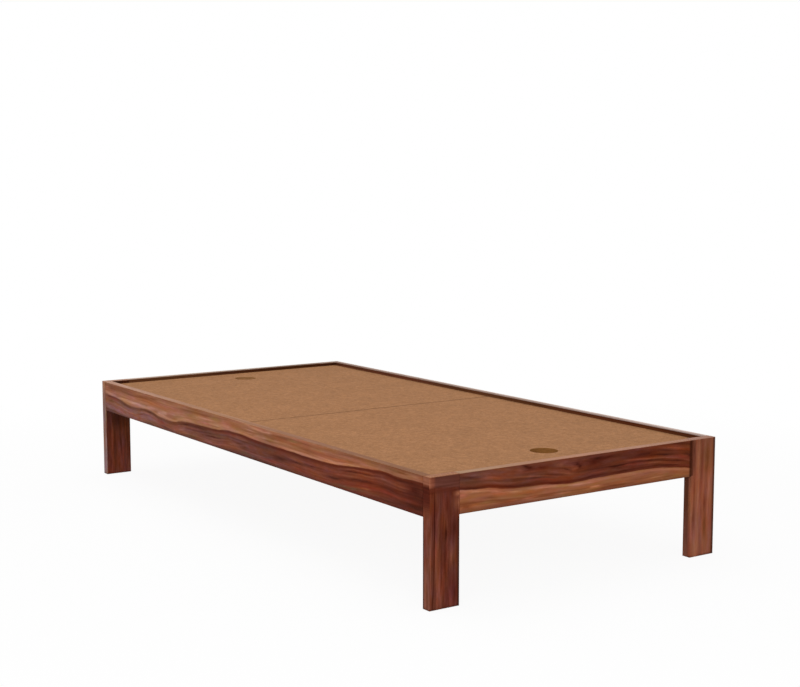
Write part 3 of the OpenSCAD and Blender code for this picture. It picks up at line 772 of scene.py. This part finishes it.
def near_leg_top(net, colour, narrow):
    """Painted shade on the arrises, painted light beside the joint, and the rails' figure that runs on round
    the top of this leg.
    """
    colour = near_leg_arris_shade(net, colour)
    fray = net.noise(net.place, TOP_FRAY_WAVES, detail=3.0, rough=0.6)
    height = net.sway(net.z, fray, FRAY_TOP)
    # The narrow face: the side rail's sapwood above, its dark line, and heartwood down to the upright grain
    banded = net.mul(outer_face(net, net.x, -OUT_X), net.step(net.z, RAIL_Z - 12 * MM, RAIL_Z + 35 * MM))
    colour = net.mix(banded, colour, net.ramp(height, NEAR_BAND))
    # The wide face, where the foot rail's heartwood ends
    on_wide = outer_face(net, net.y, -OUT_Y)
    above = net.sub(height, net.curve(net.x, CAP_EDGE))
    colour = near_leg_cap(net, colour, on_wide, above, height)
    # Painted light: a lighter line beside the joint, which lifts its shade
    joint = net.step(net.x, -LEG_IN_X - 2.4 * MM, -LEG_IN_X - 0.4 * MM, 1.0, 1.35)
    colour = net.mix(net.step(net.z, RAIL_Z, RAIL_Z + 8 * MM), colour, net.shade(colour, joint))
    # Up there the streaks lie along the rails
    lying = net.noise(net.place, LYING_WAVES, detail=3.0, rough=0.6)
    turned = net.math("MAXIMUM", banded, net.mul(on_wide, net.step(above, -22 * MM, -2 * MM)))
    narrow = net.add(narrow, net.mul(turned, net.sub(lying, narrow)))
    return colour, narrow, net.sub(1.0, net.mul(turned, 0.8))


def right_leg_sides(net, colour, narrow):
    """Shade beside the foot rail's joint and on the outer arris, and the tone of the narrow inner face."""
    beside = net.step(net.x, LEG_IN_X + 3 * MM, LEG_IN_X + 9 * MM, 0.75, 0.0)
    colour = net.mix(net.mul(beside, net.step(net.z, RAIL_Z, RAIL_Z + 4 * MM)), colour, LEG_JOINT_SHADE)
    # Painted shade on the outer arris
    colour = net.mix(net.step(net.x, OUT_X - 12 * MM, OUT_X - 6 * MM, 0.0, 0.80), colour, RIGHT_ARRIS_SHADE)
    inner = net.step(net.x, LEG_IN_X + 0.5 * MM, LEG_IN_X + 1.6 * MM, 0.8, 0.0)
    # Kept off the front strip, which stays in the wide faces' lighter tone: a painted highlight on the front
    # arris
    back = net.step(net.y, -OUT_Y + 5 * MM, -OUT_Y + 13 * MM)
    return net.mix(net.mul(inner, back), colour, net.ramp(net.z, RIGHT_INNER)), narrow, 1.0


dress("side_rail_left", rail_material(
    "hardwood_side_left", "Y", SIDE_EDGE, heart_above=False, outer=-OUT_X, shift=3.1,
    base=SIDE_BASE, tint=SIDE_TINT, top=SIDE_TOP_SHEEN, inner=SIDE_INNER_SHADE, heart=SIDE_HEART, sap=SIDE_SAP,
    line=SIDE_LINE, contrast=0.56, figure=1.1,
))
dress("side_rail_right", rail_material(
    "hardwood_side_right", "Y", RIGHT_EDGE, heart_above=True, outer=OUT_X, shift=7.7,
    base=PLAIN_BASE, tint=PLAIN_TINT, top=RIGHT_TOP_SHEEN, inner=SIDE_INNER_SHADE, heart=RIGHT_HEART, sap=RIGHT_SAP,
    sheltered=0.55,
))
dress("foot_rail", rail_material(
    "hardwood_foot", "X", FOOT_EDGE, heart_above=True, outer=-OUT_Y, shift=12.4,
    base=FOOT_BASE, tint=FOOT_TINT, top=FOOT_TOP_SHEEN, inner=FOOT_INNER_SHADE, heart=FOOT_HEART, sap=FOOT_SAP,
    extra=foot_rail_end, line=FOOT_LINE, contrast=0.36, figure=0.72,
))
dress("head_rail", rail_material(
    "hardwood_head", "X", HEAD_EDGE, heart_above=True, outer=OUT_Y, shift=17.9,
    base=PLAIN_BASE, tint=PLAIN_TINT, top=HEAD_TOP_SHEEN, inner=HEAD_INNER_SHADE, heart=HEAD_HEART, sap=HEAD_SAP,
    sheltered=0.7,
))
dress("leg_foot_left", leg_material(
    "hardwood_leg_foot_left", 21.0, NEAR_TONE, NEAR_END, outer=-OUT_Y, top=srgb(166, 114, 82),
    spots=NEAR_SPOTS, extra=near_leg_top, contrast=0.92,
))
dress("leg_foot_right", leg_material(
    "hardwood_leg_foot_right", 25.3, RIGHT_TONE, FAR_END, outer=-OUT_Y, top=srgb(164, 122, 104),
    spots=RIGHT_SPOTS, extra=right_leg_sides, contrast=0.40, patches=0.6,
))
dress("leg_head_left", leg_material(
    "hardwood_leg_head_left", 29.8, LEFT_TONE, LEFT_END, outer=OUT_Y, top=srgb(176, 132, 108),
    spots=LEFT_SPOTS, contrast=1.0,
))
dress("leg_head_right", leg_material(
    "hardwood_leg_head_right", 33.1, FAR_TONE, FAR_END, outer=OUT_Y, top=srgb(160, 132, 114),
))


BOARD_FACE = (srgb(153, 107, 71), srgb(172, 125, 88))       # dark and light flecks
BOARD_CUT = (srgb(134, 89, 46), srgb(162, 116, 75))         # edges towards the foot and towards the head
FLECK_WAVES = (330.0, 330.0, 900.0)
CHIP_WAVES = (110.0, 110.0, 500.0)
PATCH_WAVES = (50.0, 50.0, 50.0)
CLOUD_WAVES = (9.0, 9.0, 9.0)
BOARD_RELIEF = 0.1 * MM


def board_material():
    """Pressed board: flecks of bark and fibre in a smooth tan face, darker where it is cut."""
    net = Net("deck_board")
    fleck = net.noise(net.place, FLECK_WAVES, detail=3.0, rough=0.6)
    chip = net.noise(net.place, CHIP_WAVES, rough=0.6)
    patch = net.noise(net.place, PATCH_WAVES, rough=0.6)
    cloud = net.noise(net.place, CLOUD_WAVES, detail=3.0, rough=0.6)
    colour = net.mix(net.step(fleck, 0.3, 0.7), *BOARD_FACE)
    colour = net.shade(colour, net.step(chip, 0.3, 0.7, 0.90, 1.10))
    colour = net.shade(colour, net.step(patch, 0.3, 0.7, 0.93, 1.07))
    colour = net.shade(colour, net.step(cloud, 0.25, 0.75, 0.955, 1.045))
    # Shade along the seam between the panels and beside the right side rail
    seam = net.step(net.math("ABSOLUTE", net.y), MM, 10 * MM, 0.68, 1.0)
    border = net.step(net.x, OUT_X - RAIL_T - 24 * MM, OUT_X - RAIL_T - 2 * MM, 1.0, 0.84)
    colour = net.shade(colour, net.mul(seam, border))
    half = (DECK_TOP - DECK_LOW) / 2
    face = net.step(net.distance(net.z, DECK_LOW + half), half - 0.4 * MM, half - 0.1 * MM)
    edge = net.mix(net.step(net.y, -0.5, 0.5), *BOARD_CUT)
    colour = net.mix(face, net.shade(edge, net.step(chip, 0.3, 0.7, 0.85, 1.15)), colour)
    net.bump(fleck, BOARD_RELIEF)
    return net.finish(colour, roughness=0.75, specular=0.03)


BOARD = board_material()
for name in ("deck_panel_foot", "deck_panel_head"):
    dress(name, BOARD)

RING_WAVES = (0.8, 160.0, 70.0)
RING_TONES = (srgb(186, 148, 104), srgb(160, 116, 72))      # light and dark rings


def timber_material(name, axis, shift):
    """Pale inner timber with plain straight grain."""
    net = Net(name)
    along, across = (net.y, net.x) if axis == "Y" else (net.x, net.y)
    broad, narrow, fine, pores = grain(net, along, across, net.z, shift)
    ring = net.noise((along, across, net.z), RING_WAVES, detail=1.0)
    colour = net.mix(net.step(ring, 0.4, 0.62), *RING_TONES)
    colour = net.shade(colour, net.step(broad, 0.3, 0.7, 0.93, 1.05))
    return close(net, colour, narrow, fine, pores, contrast=0.3, rough=0.6, specular=0.2)


LONG_TIMBERS = ("side_ledger_left", "side_ledger_right")
CROSS_TIMBERS = (
    "foot_ledger", "head_ledger", "centre_bearer",
    "bearer_foot_outer", "bearer_foot_inner", "bearer_head_inner", "bearer_head_outer",
)
for i, name in enumerate(LONG_TIMBERS):
    dress(name, timber_material("inner_timber_" + name, "Y", 2.0 + i))
for i, name in enumerate(CROSS_TIMBERS):
    dress(name, timber_material("inner_timber_" + name, "X", 5.0 + i * 1.7))
dress("rail_dowels", timber_material("dowel_timber", "Y", 30.0))

SPANGLE_WAVES = (160.0, 160.0, 160.0)
SPANGLE_RELIEF = 0.04 * MM


def metal_material(name, colour, rough):
    """Plated steel with a faint spangle."""
    net = Net(name)
    spangle = net.noise(net.place, SPANGLE_WAVES, detail=3.0)
    net.bump(spangle, SPANGLE_RELIEF)
    colour = net.shade(colour, net.step(spangle, 0.3, 0.7, 0.9, 1.08))
    roughness = net.step(spangle, 0.3, 0.7, rough - 0.06, rough + 0.06)
    return net.finish(colour, roughness, specular=0.5, metallic=1.0)


STEEL = metal_material("zinced_steel", srgb(178, 180, 182), 0.38)
SCREW = metal_material("yellow_zinc", srgb(196, 170, 112), 0.34)
for corner in ("foot_left", "foot_right", "head_left", "head_right"):
    dress("bracket_" + corner, STEEL)
for kind in ("bracket", "ledger", "lap"):
    dress(kind + "_screws", SCREW)

# Studio: white to the eye, with a plain soft light on the object
WORLD_LIGHT = 0.5           # the backdrop's light on the object, where 1 is white to the eye
FLOOR_HALF = 40.0           # half the floor's side
FLOOR_Z = -0.5 * MM         # just under the feet
FLOOR_PAINT = (0.92, 0.92, 0.92, 1.0)
SHADOW_SHARE = 0.07         # how much of the floor's look is its own paint, which holds the shadow
SHADOW_REACH = (1.1, 2.6)   # the paint's share falls away between these distances from the middle


def seen(tree):
    """1 for the rays that see the backdrop: camera, glossy and transmission."""
    path = tree.nodes.new("ShaderNodeLightPath")
    total = path.outputs["Is Camera Ray"]
    for key in ("Is Glossy Ray", "Is Transmission Ray"):
        node = tree.nodes.new("ShaderNodeMath")
        node.operation = "MAXIMUM"
        tree.links.new(total, node.inputs[0])
        tree.links.new(path.outputs[key], node.inputs[1])
        total = node.outputs[0]
    return total


def studio_world():
    """A backdrop that is white to the eye and lights the object more dimly."""
    world = bpy.data.worlds.new("studio")
    world.use_nodes = True
    tree = world.node_tree
    backdrop = tree.nodes["Background"]
    backdrop.inputs["Color"].default_value = (1.0, 1.0, 1.0, 1.0)
    strength = tree.nodes.new("ShaderNodeMapRange")
    tree.links.new(seen(tree), strength.inputs["Value"])
    strength.inputs["To Min"].default_value = WORLD_LIGHT
    strength.inputs["To Max"].default_value = 1.0
    tree.links.new(strength.outputs[0], backdrop.inputs["Strength"])
    return world


def floor_material():
    """A floor that looks white and keeps a faint share of the object's shadow."""
    material = bpy.data.materials.new("studio_floor")
    material.use_nodes = True
    tree = material.node_tree
    tree.nodes.clear()
    new, link = tree.nodes.new, tree.links.new
    paint = new("ShaderNodeBsdfDiffuse")
    paint.inputs["Color"].default_value = FLOOR_PAINT
    glow = new("ShaderNodeEmission")
    coord = new("ShaderNodeTexCoord")
    reach = new("ShaderNodeVectorMath")
    reach.operation = "LENGTH"
    link(coord.outputs["Object"], reach.inputs[0])
    white = new("ShaderNodeMapRange")
    white.interpolation_type = "SMOOTHSTEP"
    link(reach.outputs["Value"], white.inputs["Value"])
    white.inputs["From Min"].default_value, white.inputs["From Max"].default_value = SHADOW_REACH
    white.inputs["To Min"].default_value = 1.0 - SHADOW_SHARE
    white.inputs["To Max"].default_value = 1.0
    part = new("ShaderNodeMath")
    part.operation = "MULTIPLY"
    link(seen(tree), part.inputs[0])
    link(white.outputs[0], part.inputs[1])
    both = new("ShaderNodeMixShader")
    link(part.outputs[0], both.inputs["Fac"])
    link(paint.outputs[0], both.inputs[1])
    link(glow.outputs[0], both.inputs[2])
    out = new("ShaderNodeOutputMaterial")
    link(both.outputs[0], out.inputs["Surface"])
    return material


def stand(name, data, place):
    """A new object in the scene, at that place."""
    item = bpy.data.objects.new(name, data)
    item.location = place
    scene.collection.objects.link(item)
    return item


def studio_floor():
    """A wide flat square under the feet."""
    mesh = bpy.data.meshes.new("studio_floor")
    corners = [(sx * FLOOR_HALF, sy * FLOOR_HALF, 0) for sx, sy in ((-1, -1), (1, -1), (1, 1), (-1, 1))]
    mesh.from_pydata(corners, [], [(0, 1, 2, 3)])
    mesh.materials.append(floor_material())
    return stand("studio_floor", mesh, (0.0, 0.0, FLOOR_Z))


def softbox(name, size, power, place, aim):
    """A rectangular soft light of that size in metres and power in watts, aimed at a point."""
    light = bpy.data.lights.new(name, "AREA")
    light.shape = "RECTANGLE"
    light.size, light.size_y = size
    light.energy = power
    lamp = stand(name, light, place)
    lamp.rotation_euler = (Vector(aim) - Vector(place)).to_track_quat("-Z", "Y").to_euler()
    lamp.visible_camera = False


scene.world = studio_world()
floor = studio_floor()
softbox("overhead", size=(3.2, 3.8), power=52.0, place=(-0.4, 0.3, 3.4), aim=(0.0, 0.0, 0.3))
softbox("front", size=(3.4, 2.0), power=62.0, place=(-2.6, -3.6, 1.9), aim=(0.0, -0.2, 0.2))

# Camera at the photo's viewing angle, solved from the corners of the legs, the rim and the deck
CAMERA_PLACE = (-2.44341, -3.74135, 1.04222)
CAMERA_PITCH = 6.63413      # degrees down from level
CAMERA_YAW = 34.26364       # degrees from +Y towards +X
CAMERA_LENS, CAMERA_SENSOR = 65.137, 36.0       # mm
optics = bpy.data.cameras.new("camera")
optics.lens = CAMERA_LENS
optics.sensor_width = CAMERA_SENSOR
optics.sensor_fit = "HORIZONTAL"
camera = stand("camera", optics, CAMERA_PLACE)
camera.rotation_euler = (radians(90 - CAMERA_PITCH), 0.0, radians(-CAMERA_YAW))
scene.camera = camera
scene.view_settings.view_transform = "Standard"
